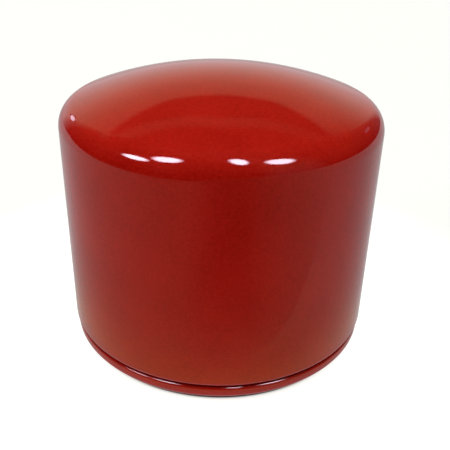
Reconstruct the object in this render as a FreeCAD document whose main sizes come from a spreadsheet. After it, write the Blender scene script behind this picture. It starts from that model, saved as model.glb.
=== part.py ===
import FreeCAD, Part
import math
import os
import Sketcher

# Spin-on oil filter for a small engine, in millimetres.
# The origin is on the axis, at the face of the gasket that seals against the engine.
# +Z runs up the axis, from the threaded open end to the closed dome.

SIZES = [
    # The drawn can.
    ("body_radius", 37.5, "outside radius of the can"),
    ("can_steel", 0.4, "sheet of the can"),
    ("wall_top", 54.2, "height where the wall turns into the shoulder"),
    ("shoulder_radius", 5.6, "round between wall and crown"),
    ("crown_angle", 21.0, "slope of the crown where it meets the shoulder, degrees"),
    ("corner_radius", 1.1, "round under the wall, above the seam"),
    ("neck_radius", 0.6, "hollow round between the corner and the seam"),
    ("neck_height", 5.2, "height of the underside of the neck"),
    # The rolled double seam that joins can and lid.
    ("seam_bottom", 1.8, "height of the seam above the sealing face"),
    ("seam_radius", 37.1, "outside radius of the seam"),
    ("seam_height", 2.9, "from the bottom of the seam to its top"),
    ("lid_steel", 0.5, "sheet of the lid"),
    ("hook_gap", 0.2, "space above the can's hook, inside the seam"),
    ("hook_lap", 0.9, "length of the lid's hook"),
    # The lid that holds the gasket.
    ("roof_height", 5.6, "underside of the lid's roof, on which the gasket lies"),
    ("lip_radius", 30.2, "inside radius of the lid's lip"),
    ("lip_bottom", 3.6, "lower edge of the lid's lip"),
    ("lid_bend", 0.4, "inside radius of the lid's bends"),
    # The gasket.
    ("gasket_inside", 30.86, "inside radius, 2.430 in across"),
    ("gasket_outside", 34.72, "outside radius, 2.734 in across"),
    ("gasket_edge", 0.5, "rounded and chamfered edges"),
    # The threaded base plate.
    ("plate_radius", 35.2, "outside radius"),
    ("plate_thickness", 3.0, "thickness of the plate"),
    ("plate_edge", 0.5, "rounded rim"),
    ("thread_radius", 8.75, "minor radius of the 3/4-16 UNF thread"),
    ("thread_entry", 0.9, "chamfer at the engine's end"),
    ("thread_exit", 0.5, "chamfer at the inner end"),
    ("hub_radius", 12.0, "outside radius of the threaded hub"),
    ("hub_top", 14.5, "height of the top of the hub"),
    ("hub_round", 0.8, "round at the top of the hub"),
    ("hub_fillet", 1.0, "fillet between hub and plate"),
    ("inlet_radius", 2.75, "radius of an inlet hole"),
    ("inlet_ring", 21.0, "radius of the ring of inlet holes"),
    ("inlet_count", 8, "number of inlet holes"),
    # The rubber anti-drainback valve.
    ("valve_bore", 12.1, "inside radius of the sleeve on the hub"),
    ("valve_sleeve", 1.4, "wall of the sleeve"),
    ("valve_foot", 10.3, "lower edge of the sleeve"),
    ("valve_top", 15.4, "top face, under the element"),
    ("valve_face", 16.6, "radius of the flat top face"),
    ("valve_thickness", 1.3, "thickness at the root of the skirt"),
    ("valve_lip", 27.0, "radius of the sealing lip"),
    ("valve_lip_width", 1.6, "width of the lip that lies on the plate"),
    ("valve_lip_height", 1.0, "thickness of the lip"),
    # The filter element.
    ("element_bottom", 15.5, "underside of the lower end cap"),
    ("element_top", 54.9, "top of the upper end cap"),
    ("element_radius", 33.5, "outside radius of the end caps"),
    ("cap_steel", 0.4, "sheet of the end caps"),
    ("cap_rim", 3.0, "height of the rims"),
    ("cap_bend", 0.2, "inside radius of the bends"),
    ("collar_radius", 13.8, "inside radius of the lower cap's collar"),
    ("upper_hole", 10.8, "radius of the hole for the bypass valve"),
    ("potting_thickness", 1.3, "cured adhesive between cap and paper"),
    ("potting_outside", 32.9, "outside radius of the adhesive"),
    ("tube_inside", 14.4, "inside radius of the centre tube"),
    ("tube_steel", 0.6, "sheet of the centre tube"),
    ("tube_hole", 1.75, "radius of a perforation"),
    ("tube_rows", 6, "perforations in a column"),
    ("tube_columns", 12, "columns of perforations"),
    ("tube_pitch", 5.6, "distance between the rows"),
    ("tube_first_row", 21.2, "height of the lowest row"),
    # The pleated paper and its clip.
    ("pleat_count", 48, "number of pleats"),
    ("paper", 0.6, "thickness of the paper"),
    ("fold_inside", 16.2, "radius of the centres of the inner folds"),
    ("fold_outside", 31.4, "radius of the centres of the outer folds"),
    ("paper_end", 31.8, "radius where the two ends of the strip stop"),
    ("clip_steel", 0.3, "sheet of the clip"),
    ("clip_inside", 26.0, "radius where the clip's legs end"),
    ("clip_outside", 32.5, "outside radius of the clip"),
    # The bypass valve in the upper end cap.
    ("cup_radius", 10.2, "outside radius of the cup"),
    ("cup_steel", 0.4, "sheet of the cup"),
    ("cup_bottom", 42.0, "underside of the cup"),
    ("cup_bend", 0.2, "inside radius of the cup's tight bends"),
    ("cup_throat", 0.4, "hollow round under the flange"),
    ("cup_flange", 14.1, "outside radius of the crimped rim"),
    ("cup_crimp", 12.7, "inside radius of the crimped edge"),
    ("guide_radius", 1.7, "radius of the stem's guide hole"),
    ("window_width", 3.2, "width of a window in the cup"),
    ("window_bottom", 44.4, "lower edge of a window"),
    ("window_top", 51.4, "upper edge of a window"),
    ("window_count", 6, "number of windows"),
    ("seat_plate", 0.8, "thickness of the seat plate"),
    ("seat_radius", 13.4, "outside radius of the seat plate"),
    ("seat_hole", 5.5, "radius of the seat's hole"),
    ("seat_bead", 0.6, "width of the sealing bead"),
    ("bead_height", 0.3, "height of the sealing bead"),
    ("disc_radius", 8.5, "radius of the poppet and its seal"),
    ("seal_thickness", 1.1, "thickness of the rubber seal"),
    ("poppet_steel", 0.8, "thickness of the poppet"),
    ("poppet_boss", 5.6, "radius of the boss that centres the spring"),
    ("boss_height", 1.2, "height of that boss"),
    ("stem_radius", 1.6, "radius of the stem"),
    ("stem_bottom", 39.8, "lower end of the stem"),
    ("stem_head", 3.2, "radius of the riveted head"),
    ("head_height", 0.9, "height of the riveted head"),
    ("stem_chamfer", 0.4, "chamfer at the stem's lower end"),
    # The two wire springs.
    ("bypass_wire", 0.9, "wire of the bypass spring"),
    ("bypass_coil", 6.5, "mean radius of the bypass spring"),
    ("bypass_turns", 5.0, "turns of the bypass spring"),
    ("hold_wire", 1.6, "wire of the element spring"),
    ("hold_coil", 13.4, "mean radius of the element spring"),
    ("hold_turns", 2.0, "turns of the element spring"),
    ("hold_top", 63.5, "height of the wire's centre at the top end"),
]


class Size:
    """A number together with the spreadsheet expression that gives it."""

    def __init__(self, value, text):
        self.value = value
        self.text = text

    def joined(self, other, sign, value):
        return Size(value, "(" + self.text + " " + sign + " " + as_size(other).text + ")")

    def __add__(self, other):
        return self.joined(other, "+", self.value + as_size(other).value)

    def __sub__(self, other):
        return self.joined(other, "-", self.value - as_size(other).value)

    def __mul__(self, other):
        return self.joined(other, "*", self.value * as_size(other).value)

    def __truediv__(self, other):
        return self.joined(other, "/", self.value / as_size(other).value)


def as_size(number):
    return number if isinstance(number, Size) else Size(float(number), repr(float(number)))


def sine(angle):
    return Size(math.sin(math.radians(angle.value)), "sin(" + angle.text + ")")


def cosine(angle):
    return Size(math.cos(math.radians(angle.value)), "cos(" + angle.text + ")")


class Sizes:
    """The spreadsheet's cells by name."""


doc = FreeCAD.newDocument("oil_filter")
sheet = doc.addObject("Spreadsheet::Sheet", "Dimensions")
size = Sizes()
for row, (name, value, note) in enumerate(SIZES, start=1):
    sheet.set("A%d" % row, name)
    sheet.set("B%d" % row, str(value))
    sheet.set("C%d" % row, note)
    sheet.setAlias("B%d" % row, name)
    setattr(size, name, Size(value, "Dimensions." + name))
doc.recompute()

sub_parts = []


# ---------------------------------------------------------------- building blocks


def new_body(label):
    body = doc.addObject("PartDesign::Body", label)
    body.Label = label
    sub_parts.append(body)
    return body


def datum(body, role):
    return next(item for item in body.Origin.OriginFeatures if item.Role == role)


def new_sketch(body, name, role):
    sketch = body.newObject("Sketcher::SketchObject", body.Name + "_" + name)
    sketch.AttachmentSupport = [(datum(body, role), "")]
    sketch.MapMode = "FlatFace"
    return sketch


def fix(sketch, kind, geometry, point, distance):
    """Places a point along one axis of the sketch by an expression."""
    axis = -2 if kind == "DistanceX" else -1
    if distance.value == 0:
        sketch.addConstraint(Sketcher.Constraint("PointOnObject", geometry, point, axis))
        return
    rule = Sketcher.Constraint(kind, -1, 1, geometry, point, distance.value)
    index = sketch.addConstraint(rule)
    sketch.setExpression("Constraints[%d]" % index, distance.text)


def arc_between(start, end, radius, side):
    """An arc of at most half a turn; side is +1 when its centre is left of the way."""
    chord = end - start
    across = FreeCAD.Vector(-chord.y, chord.x, 0).normalize() * side
    depth = math.sqrt(max(radius ** 2 - (chord.Length / 2) ** 2, 0))
    centre = (start + end) / 2 + across * depth
    first, last = (start, end) if side > 0 else (end, start)
    angles = [math.atan2(point.y - centre.y, point.x - centre.x) for point in (first, last)]
    if angles[1] < angles[0]:
        angles[1] += 2 * math.pi
    circle = Part.Circle(centre, FreeCAD.Vector(0, 0, 1), radius)
    return Part.ArcOfCircle(circle, angles[0], angles[1])


def draw_outline(sketch, outline):
    """Draws a closed outline of corners (x, y) with straight sides.

    A corner may be (x, y, radius, side): then an arc leads from it to the next corner."""
    corners = [tuple(as_size(item) for item in corner[:2]) for corner in outline]
    points = [FreeCAD.Vector(x.value, y.value, 0) for x, y in corners]
    ends = []
    for index, corner in enumerate(outline):
        start = points[index]
        end = points[(index + 1) % len(points)]
        if len(corner) == 2:
            geometry = sketch.addGeometry(Part.LineSegment(start, end), False)
            ends.append((geometry, 1, 2))
            continue
        radius = as_size(corner[2])
        side = corner[3]
        geometry = sketch.addGeometry(arc_between(start, end, radius.value, side), False)
        ends.append((geometry, 1, 2) if side > 0 else (geometry, 2, 1))
        rule = sketch.addConstraint(Sketcher.Constraint("Radius", geometry, radius.value))
        sketch.setExpression("Constraints[%d]" % rule, radius.text)
    for index, (x, y) in enumerate(corners):
        geometry, first, last = ends[index]
        before = ends[index - 1]
        joint = Sketcher.Constraint("Coincident", before[0], before[2], geometry, first)
        sketch.addConstraint(joint)
        fix(sketch, "DistanceX", geometry, first, x)
        fix(sketch, "DistanceY", geometry, first, y)


def draw_circle(sketch, x, y, radius):
    centre = FreeCAD.Vector(as_size(x).value, as_size(y).value, 0)
    circle = Part.Circle(centre, FreeCAD.Vector(0, 0, 1), radius.value)
    geometry = sketch.addGeometry(circle, False)
    rule = sketch.addConstraint(Sketcher.Constraint("Radius", geometry, radius.value))
    sketch.setExpression("Constraints[%d]" % rule, radius.text)
    fix(sketch, "DistanceX", geometry, 3, as_size(x))
    fix(sketch, "DistanceY", geometry, 3, as_size(y))


def turned(label, outline):
    """A body turned about the Z axis from its half section."""
    body = new_body(label)
    profile = new_sketch(body, "section", "XZ_Plane")
    draw_outline(profile, outline)
    solid = body.newObject("PartDesign::Revolution", label + "_turned")
    solid.Profile = profile
    solid.ReferenceAxis = (datum(body, "Z_Axis"), [""])
    solid.Angle = 360
    return body


def ring(label, inside, outside, bottom, top):
    return turned(label, [(inside, bottom), (outside, bottom), (outside, top), (inside, top)])


def cut_round(body, sketch, count):
    """Cuts the sketch through one side of the body, then repeats the cut about the axis."""
    doc.recompute()
    before = body.Shape.Volume
    cut = body.newObject("PartDesign::Pocket", sketch.Name + "_cut")
    cut.Profile = sketch
    cut.Type = "ThroughAll"
    # Sketches on the horizontal plane cut upwards, into the solid above it.
    cut.Reversed = sketch.AttachmentSupport[0][0].Role == "XY_Plane"
    doc.recompute()
    if not body.Shape.Volume < before:
        raise RuntimeError(cut.Name + " cuts nothing")
    pattern = body.newObject("PartDesign::PolarPattern", sketch.Name + "_pattern")
    pattern.Originals = [cut]
    pattern.Axis = (datum(body, "Z_Axis"), [""])
    pattern.Angle = 360
    pattern.setExpression("Occurrences", count.text)
    body.Tip = pattern


def coiled(label, wire, coil, bottom, height, turns):
    """A round wire wound about the Z axis; bottom is the height of its centre."""
    body = new_body(label)
    section = new_sketch(body, "wire", "XZ_Plane")
    draw_circle(section, coil, bottom, wire / 2)
    spring = body.newObject("PartDesign::AdditiveHelix", label + "_coil")
    spring.Profile = section
    spring.ReferenceAxis = (datum(body, "Z_Axis"), [""])
    spring.Mode = "height-turns-angle"
    spring.setExpression("Height", height.text)
    spring.setExpression("Turns", turns.text)
    return body


LEFT = 1
RIGHT = -1


# ---------------------------------------------------------------- can and lid

# Radii of the seam's layers, from the inside out: chuck wall, can wall, lid hook,
# can hook and seam wall.
seam_outer = size.seam_radius - size.lid_steel
can_hook_inner = seam_outer - size.can_steel
lid_hook_inner = can_hook_inner - size.lid_steel
can_neck_inner = lid_hook_inner - size.can_steel
chuck_inner = can_neck_inner - size.lid_steel
# The can's fold round the seam's bottom, and the lid's fold outside it.
fold_middle = (can_neck_inner + seam_outer) / 2
can_fold = (seam_outer - can_neck_inner) / 2
lid_fold = can_fold + size.lid_steel
inner_fold = can_fold - size.can_steel
fold_height = size.seam_bottom + lid_fold
# The lid's curl over the seam's top.
curl_middle = (lid_hook_inner + size.seam_radius) / 2
curl = (size.seam_radius - lid_hook_inner) / 2
curl_inner = curl - size.lid_steel
curl_height = size.seam_bottom + size.seam_height - curl
hook_top = curl_height - size.hook_gap


def can_shell():
    """Deep-drawn can: crown, shoulder, straight wall, neck and the hook inside the seam."""
    radius = size.body_radius
    steel = size.can_steel
    shoulder = size.shoulder_radius
    inner_shoulder = shoulder - steel
    shoulder_middle = radius - shoulder
    edge = shoulder_middle + shoulder * sine(size.crown_angle)
    edge_height = size.wall_top + shoulder * cosine(size.crown_angle)
    crown = edge / sine(size.crown_angle)
    crown_inner = crown - steel
    crown_middle = edge_height - crown * cosine(size.crown_angle)
    inner_edge = crown_inner * sine(size.crown_angle)
    inner_edge_height = crown_middle + crown_inner * cosine(size.crown_angle)
    inner_radius = radius - steel
    corner = size.corner_radius
    corner_middle = radius - corner
    corner_height = size.neck_height + corner
    neck = size.neck_radius
    neck_middle = lid_hook_inner + neck
    neck_low = size.neck_height - neck
    neck_upper = size.neck_height + steel
    return turned("can_shell", [
        (0, crown_middle + crown, crown, RIGHT),
        (edge, edge_height, shoulder, RIGHT),
        (radius, size.wall_top),
        (radius, corner_height, corner, RIGHT),
        (corner_middle, size.neck_height),
        (neck_middle, size.neck_height, neck, LEFT),
        (lid_hook_inner, neck_low),
        (lid_hook_inner, fold_height, inner_fold, LEFT),
        (fold_middle, fold_height - inner_fold, inner_fold, LEFT),
        (can_hook_inner, fold_height),
        (can_hook_inner, hook_top),
        (seam_outer, hook_top),
        (seam_outer, fold_height, can_fold, RIGHT),
        (fold_middle, fold_height - can_fold, can_fold, RIGHT),
        (can_neck_inner, fold_height),
        (can_neck_inner, neck_low, neck + steel, RIGHT),
        (neck_middle, neck_upper),
        (corner_middle, neck_upper, corner - steel, LEFT),
        (inner_radius, corner_height),
        (inner_radius, size.wall_top, inner_shoulder, LEFT),
        (inner_edge, inner_edge_height, crown_inner, LEFT),
        (0, crown_middle + crown_inner),
    ])


def seam_lid():
    """Lid: lip, roof over the gasket, chuck wall and the curl that closes the seam."""
    steel = size.lid_steel
    bend = size.lid_bend
    outer_bend = bend + steel
    roof_top = size.roof_height + steel
    bend_height = size.roof_height - bend
    lip_bend = size.lip_radius + outer_bend
    wall_bend = can_neck_inner - outer_bend
    return turned("seam_lid", [
        (size.lip_radius, size.lip_bottom),
        (size.lip_radius, bend_height, outer_bend, RIGHT),
        (lip_bend, roof_top),
        (wall_bend, roof_top, outer_bend, RIGHT),
        (can_neck_inner, bend_height),
        (can_neck_inner, fold_height, can_fold, LEFT),
        (fold_middle, fold_height - can_fold, can_fold, LEFT),
        (seam_outer, fold_height),
        (seam_outer, curl_height, curl_inner, LEFT),
        (curl_middle, curl_height + curl_inner, curl_inner, LEFT),
        (can_hook_inner, curl_height),
        (can_hook_inner, curl_height - size.hook_lap),
        (lid_hook_inner, curl_height - size.hook_lap),
        (lid_hook_inner, curl_height, curl, RIGHT),
        (curl_middle, curl_height + curl, curl, RIGHT),
        (size.seam_radius, curl_height),
        (size.seam_radius, fold_height, lid_fold, RIGHT),
        (fold_middle, size.seam_bottom, lid_fold, RIGHT),
        (chuck_inner, fold_height),
        (chuck_inner, bend_height, bend, LEFT),
        (wall_bend, size.roof_height),
        (lip_bend, size.roof_height, bend, LEFT),
        (size.lip_radius + steel, bend_height),
        (size.lip_radius + steel, size.lip_bottom),
    ])


def seam_sealing_compound():
    """Bead of cured compound between the top of the can's hook and the lid's curl."""
    return turned("seam_sealing_compound", [
        (can_hook_inner, hook_top),
        (seam_outer, hook_top),
        (seam_outer, curl_height, curl_inner, LEFT),
        (curl_middle, curl_height + curl_inner, curl_inner, LEFT),
        (can_hook_inner, curl_height),
    ])


def base_gasket():
    """Lathe-cut rubber ring: rounded at the engine's side, chamfered at the lid's side."""
    inside = size.gasket_inside
    outside = size.gasket_outside
    edge = size.gasket_edge
    top = size.roof_height
    return turned("base_gasket", [
        (inside + edge, 0),
        (outside - edge, 0, edge, LEFT),
        (outside, edge),
        (outside, top - edge),
        (outside - edge, top),
        (inside + edge, top),
        (inside, top - edge),
        (inside, edge, edge, LEFT),
    ])


# ---------------------------------------------------------------- base plate and its valve

plate_bottom = size.roof_height + size.lid_steel
plate_top = plate_bottom + size.plate_thickness


def base_plate():
    """Threaded plate: hub drawn inwards round the thread, inlet holes in a ring."""
    bore = size.thread_radius
    hub = size.hub_radius
    edge = size.plate_edge
    rim = size.plate_radius
    body = turned("base_plate", [
        (bore, plate_bottom + size.thread_entry),
        (bore + size.thread_entry, plate_bottom),
        (rim - edge, plate_bottom, edge, LEFT),
        (rim, plate_bottom + edge),
        (rim, plate_top - edge, edge, LEFT),
        (rim - edge, plate_top),
        (hub + size.hub_fillet, plate_top, size.hub_fillet, RIGHT),
        (hub, plate_top + size.hub_fillet),
        (hub, size.hub_top - size.hub_round, size.hub_round, LEFT),
        (hub - size.hub_round, size.hub_top),
        (bore + size.thread_exit, size.hub_top),
        (bore, size.hub_top - size.thread_exit),
    ])
    inlet = new_sketch(body, "inlet", "XY_Plane")
    draw_circle(inlet, size.inlet_ring, 0, size.inlet_radius)
    cut_round(body, inlet, size.inlet_count)
    return body


def anti_drainback_valve():
    """Rubber valve: sleeve on the hub and a skirt that lies on the plate round the inlets."""
    sleeve = size.valve_bore + size.valve_sleeve
    root = size.valve_top - size.valve_thickness
    lip_inner = size.valve_lip - size.valve_lip_width
    return turned("anti_drainback_valve", [
        (size.valve_bore, size.valve_foot),
        (sleeve, size.valve_foot),
        (sleeve, root),
        (size.valve_face - size.valve_thickness / 2, root),
        (lip_inner, plate_top),
        (size.valve_lip, plate_top),
        (size.valve_lip, plate_top + size.valve_lip_height),
        (size.valve_face, size.valve_top),
        (size.valve_bore, size.valve_top),
    ])


# ---------------------------------------------------------------- filter element

cap_floor = size.element_bottom + size.cap_steel
cap_ceiling = size.element_top - size.cap_steel
media_bottom = cap_floor + size.potting_thickness
media_top = cap_ceiling - size.potting_thickness
tube_outside = size.tube_inside + size.tube_steel
rim_inside = size.element_radius - size.cap_steel
cap_outer_bend = size.cap_bend + size.cap_steel


def lower_end_cap():
    """Pressed cap with an outer rim and a collar that centres the tube."""
    outer = size.element_radius
    hole = size.collar_radius
    top = size.element_bottom + size.cap_rim
    bend_height = size.element_bottom + cap_outer_bend
    return turned("lower_end_cap", [
        (outer, top),
        (outer, bend_height, cap_outer_bend, RIGHT),
        (outer - cap_outer_bend, size.element_bottom),
        (hole + cap_outer_bend, size.element_bottom, cap_outer_bend, RIGHT),
        (hole, bend_height),
        (hole, top),
        (hole + size.cap_steel, top),
        (hole + size.cap_steel, bend_height, size.cap_bend, LEFT),
        (hole + cap_outer_bend, cap_floor),
        (outer - cap_outer_bend, cap_floor, size.cap_bend, LEFT),
        (rim_inside, bend_height),
        (rim_inside, top),
    ])


def upper_end_cap():
    """Pressed cap with an outer rim and a hole for the bypass valve."""
    outer = size.element_radius
    bottom = size.element_top - size.cap_rim
    bend_height = size.element_top - cap_outer_bend
    return turned("upper_end_cap", [
        (outer, bottom),
        (outer, bend_height, cap_outer_bend, LEFT),
        (outer - cap_outer_bend, size.element_top),
        (size.upper_hole, size.element_top),
        (size.upper_hole, cap_ceiling),
        (outer - cap_outer_bend, cap_ceiling, size.cap_bend, RIGHT),
        (rim_inside, bend_height),
        (rim_inside, bottom),
    ])


def center_tube():
    """Steel tube with rows of round perforations."""
    body = ring("center_tube", size.tube_inside, tube_outside, cap_floor, cap_ceiling)
    column = new_sketch(body, "perforation", "XZ_Plane")
    for row in range(int(size.tube_rows.value)):
        height = size.tube_first_row + size.tube_pitch * row
        draw_circle(column, 0, height, size.tube_hole)
    cut_round(body, column, size.tube_columns)
    return body


def pleated_media():
    """One strip of paper in radial pleats, open at the ends that the clip holds."""
    half_step = math.pi / size.pleat_count.value / 2
    half_paper = size.paper.value / 2
    flanks = int(2 * size.pleat_count.value)

    def along(angle):
        return FreeCAD.Vector(math.cos(angle), math.sin(angle), 0)

    def across(angle):
        return FreeCAD.Vector(-math.sin(angle), math.cos(angle), 0)

    def face_of_paper(offset):
        """The edges of one face of the strip, half a thickness from its middle."""
        first = half_step
        last = half_step * (2 * flanks - 1)
        point = along(first) * size.paper_end.value - across(first) * offset
        edges = []
        for flank in range(flanks - 1):
            outward = flank % 2
            middle = half_step * (2 * flank + 2)
            distance = size.fold_outside.value if outward else size.fold_inside.value
            radius = distance * math.sin(half_step) + (-offset if outward else offset)
            centre = along(middle) * distance
            start = centre - across(middle - half_step) * radius
            crest = centre + along(middle) * (radius if outward else -radius)
            end = centre + across(middle + half_step) * radius
            edges.append(Part.LineSegment(point, start).toShape())
            edges.append(Part.Arc(start, crest, end).toShape())
            point = end
        stop = along(last) * size.paper_end.value + across(last) * offset
        edges.append(Part.LineSegment(point, stop).toShape())
        return edges

    near = face_of_paper(half_paper)
    far = face_of_paper(-half_paper)
    starts = Part.LineSegment(near[0].Vertexes[0].Point, far[0].Vertexes[0].Point)
    stops = Part.LineSegment(near[-1].Vertexes[-1].Point, far[-1].Vertexes[-1].Point)
    outline = Part.Wire(near + [stops.toShape()] + far[::-1] + [starts.toShape()])
    height = media_top.value - media_bottom.value
    media = doc.addObject("Part::Feature", "pleated_media")
    media.Label = "pleated_media"
    media.Shape = Part.Face(outline).extrude(FreeCAD.Vector(0, 0, height))
    media.Placement = FreeCAD.Placement(
        FreeCAD.Vector(0, 0, media_bottom.value), FreeCAD.Rotation())
    sub_parts.append(media)
    return media


def media_clip():
    """Folded steel strip over the two ends of the paper, the full height of the pleats."""
    body = new_body("media_clip")
    section = new_sketch(body, "section", "XY_Plane")
    flank = as_size(90.0) / size.pleat_count
    near = size.paper / 2
    far = near + size.clip_steel
    web = size.clip_outside - size.clip_steel

    def corner(radius, offset, mirror):
        x = radius * cosine(flank) - offset * sine(flank)
        y = radius * sine(flank) + offset * cosine(flank)
        return (x, y * mirror)

    draw_outline(section, [
        corner(size.clip_inside, near, 1),
        corner(web, near, 1),
        corner(web, near, -1),
        corner(size.clip_inside, near, -1),
        corner(size.clip_inside, far, -1),
        corner(size.clip_outside, far, -1),
        corner(size.clip_outside, far, 1),
        corner(size.clip_inside, far, 1),
    ])
    strip = body.newObject("PartDesign::Pad", "media_clip_strip")
    strip.Profile = section
    strip.setExpression("Length", (media_top - media_bottom).text)
    body.setExpression("Placement.Base.z", media_bottom.text)
    return body


# ---------------------------------------------------------------- bypass valve

flange_top = size.element_top + size.cup_steel
seat_top = flange_top + size.seat_plate
seal_top = flange_top - size.bead_height
poppet_top = seal_top - size.seal_thickness
poppet_bottom = poppet_top - size.poppet_steel
cup_floor = size.cup_bottom + size.cup_steel


def bypass_valve_body():
    """Drawn cup that hangs in the cap, with windows and a rim crimped over the seat."""
    steel = size.cup_steel
    bend = size.cup_bend
    outer_bend = bend + steel
    wall = size.cup_radius
    throat = size.cup_throat
    throat_height = size.element_top - throat
    throat_middle = wall + throat
    rim = size.cup_flange
    rim_bend = rim - outer_bend
    crimp_top = seat_top + steel
    body = turned("bypass_valve_body", [
        (size.guide_radius, size.cup_bottom),
        (wall - outer_bend, size.cup_bottom, outer_bend, LEFT),
        (wall, size.cup_bottom + outer_bend),
        (wall, throat_height, throat, RIGHT),
        (throat_middle, size.element_top),
        (rim_bend, size.element_top, outer_bend, LEFT),
        (rim, size.element_top + outer_bend),
        (rim, crimp_top - outer_bend, outer_bend, LEFT),
        (rim_bend, crimp_top),
        (size.cup_crimp, crimp_top),
        (size.cup_crimp, seat_top),
        (rim_bend, seat_top, bend, RIGHT),
        (rim - steel, seat_top - bend),
        (rim - steel, flange_top + bend, bend, RIGHT),
        (rim_bend, flange_top),
        (throat_middle, flange_top, throat + steel, LEFT),
        (wall - steel, throat_height),
        (wall - steel, cup_floor + bend, bend, RIGHT),
        (wall - outer_bend, cup_floor),
        (size.guide_radius, cup_floor),
    ])
    window = new_sketch(body, "window", "XZ_Plane")
    half = size.window_width / 2
    draw_outline(window, [
        (half * -1, size.window_bottom),
        (half, size.window_bottom),
        (half, size.window_top),
        (half * -1, size.window_top),
    ])
    cut_round(body, window, size.window_count)
    return body


def bypass_valve_seat():
    """Seat plate with a sealing bead round its hole."""
    bead_outer = size.seat_hole + size.seat_bead
    return turned("bypass_valve_seat", [
        (size.seat_hole, seal_top),
        (bead_outer, seal_top),
        (bead_outer + size.bead_height, flange_top),
        (size.seat_radius, flange_top),
        (size.seat_radius, seat_top),
        (size.seat_hole, seat_top),
    ])


def bypass_valve_seal():
    return ring("bypass_valve_seal", size.stem_radius, size.disc_radius, poppet_top, seal_top)


def bypass_valve_poppet():
    """Steel disc behind the seal, with a boss inside the spring."""
    return turned("bypass_valve_poppet", [
        (size.stem_radius, poppet_bottom - size.boss_height),
        (size.poppet_boss, poppet_bottom - size.boss_height),
        (size.poppet_boss, poppet_bottom),
        (size.disc_radius, poppet_bottom),
        (size.disc_radius, poppet_top),
        (size.stem_radius, poppet_top),
    ])


def bypass_valve_stem():
    """Guide stem, riveted over the seal."""
    head_round = size.head_height / 2
    return turned("bypass_valve_stem", [
        (0, size.stem_bottom),
        (size.stem_radius - size.stem_chamfer, size.stem_bottom),
        (size.stem_radius, size.stem_bottom + size.stem_chamfer),
        (size.stem_radius, seal_top),
        (size.stem_head, seal_top),
        (size.stem_head, seal_top + head_round, head_round, LEFT),
        (size.stem_head - head_round, seal_top + size.head_height),
        (0, seal_top + size.head_height),
    ])


def bypass_valve_spring():
    bottom = cup_floor + size.bypass_wire / 2
    height = poppet_bottom - cup_floor - size.bypass_wire
    return coiled("bypass_valve_spring", size.bypass_wire, size.bypass_coil, bottom, height,
                  size.bypass_turns)


def element_spring():
    """Short stiff spring between the crimped rim and the inside of the dome."""
    bottom = seat_top + size.cup_steel + size.hold_wire / 2
    return coiled("element_spring", size.hold_wire, size.hold_coil, bottom,
                  size.hold_top - bottom, size.hold_turns)


# ---------------------------------------------------------------- build, check and export

for build in (can_shell, seam_lid, seam_sealing_compound, base_gasket, base_plate,
              anti_drainback_valve, lower_end_cap, upper_end_cap, center_tube,
              pleated_media, media_clip, bypass_valve_body, bypass_valve_seat,
              bypass_valve_seal, bypass_valve_poppet, bypass_valve_stem,
              bypass_valve_spring, element_spring):
    build()
ring("lower_potting", tube_outside, size.potting_outside, cap_floor, media_bottom)
ring("upper_potting", tube_outside, size.potting_outside, media_top, cap_ceiling)
doc.recompute()

for item in doc.Objects:
    if "Invalid" in item.State or "Error" in item.State:
        raise RuntimeError(item.Name + " failed: " + item.getStatusString())
for item in sub_parts:
    if item.Shape.isNull() or not item.Shape.isValid() or len(item.Shape.Solids) != 1:
        raise RuntimeError(item.Label + " is not one valid solid")

os.makedirs("parts", exist_ok=True)
for item in sub_parts:
    item.Shape.exportStep(os.path.join("parts", item.Label + ".step"))
    box = item.Shape.BoundBox
    print("%-24s %9.1f mm3  radius %.2f  z %.2f to %.2f"
          % (item.Label, item.Shape.Volume, box.XMax, box.ZMin, box.ZMax))
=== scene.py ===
import math

import bmesh
import bpy
from mathutils import Matrix, Vector


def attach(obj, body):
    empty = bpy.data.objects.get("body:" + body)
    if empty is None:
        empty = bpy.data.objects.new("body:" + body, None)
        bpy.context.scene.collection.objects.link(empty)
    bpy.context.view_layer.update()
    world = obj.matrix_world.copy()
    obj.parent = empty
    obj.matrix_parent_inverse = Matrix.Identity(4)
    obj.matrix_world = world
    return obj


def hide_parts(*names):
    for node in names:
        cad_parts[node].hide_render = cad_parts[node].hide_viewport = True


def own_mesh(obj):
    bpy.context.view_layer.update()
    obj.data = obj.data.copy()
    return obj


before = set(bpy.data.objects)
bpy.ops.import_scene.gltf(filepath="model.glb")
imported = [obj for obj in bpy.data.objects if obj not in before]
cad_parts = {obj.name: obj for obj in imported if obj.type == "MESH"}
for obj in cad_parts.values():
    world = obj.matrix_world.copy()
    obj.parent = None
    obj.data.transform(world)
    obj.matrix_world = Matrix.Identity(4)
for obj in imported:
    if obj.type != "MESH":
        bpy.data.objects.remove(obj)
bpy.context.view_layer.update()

# Oil filter standing on its gasket, dome up. Outlines are in millimetres, as (radius, height)
# from the sealing face of the gasket; meshes are in metres.
MM = 0.001
LEFT = 1
RIGHT = -1
FINE = 256
MEDIUM = 128
COARSE = 32
PLATE_SHARP = 30
WIRE_SHARP = 50

# ---------------------------------------------------------------- sizes, as in the CAD part
BODY_RADIUS = 37.5
CAN_STEEL = 0.4
WALL_TOP = 54.2
SHOULDER = 5.6
CROWN_ANGLE = math.radians(21.0)
CORNER = 1.1
NECK = 0.6
NECK_HEIGHT = 5.2
SEAM_BOTTOM = 1.8
SEAM_RADIUS = 37.1
SEAM_HEIGHT = 2.9
LID_STEEL = 0.5
HOOK_GAP = 0.2
HOOK_LAP = 0.9
ROOF_HEIGHT = 5.6
LIP_RADIUS = 30.2
LIP_BOTTOM = 3.6
LID_BEND = 0.4

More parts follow.
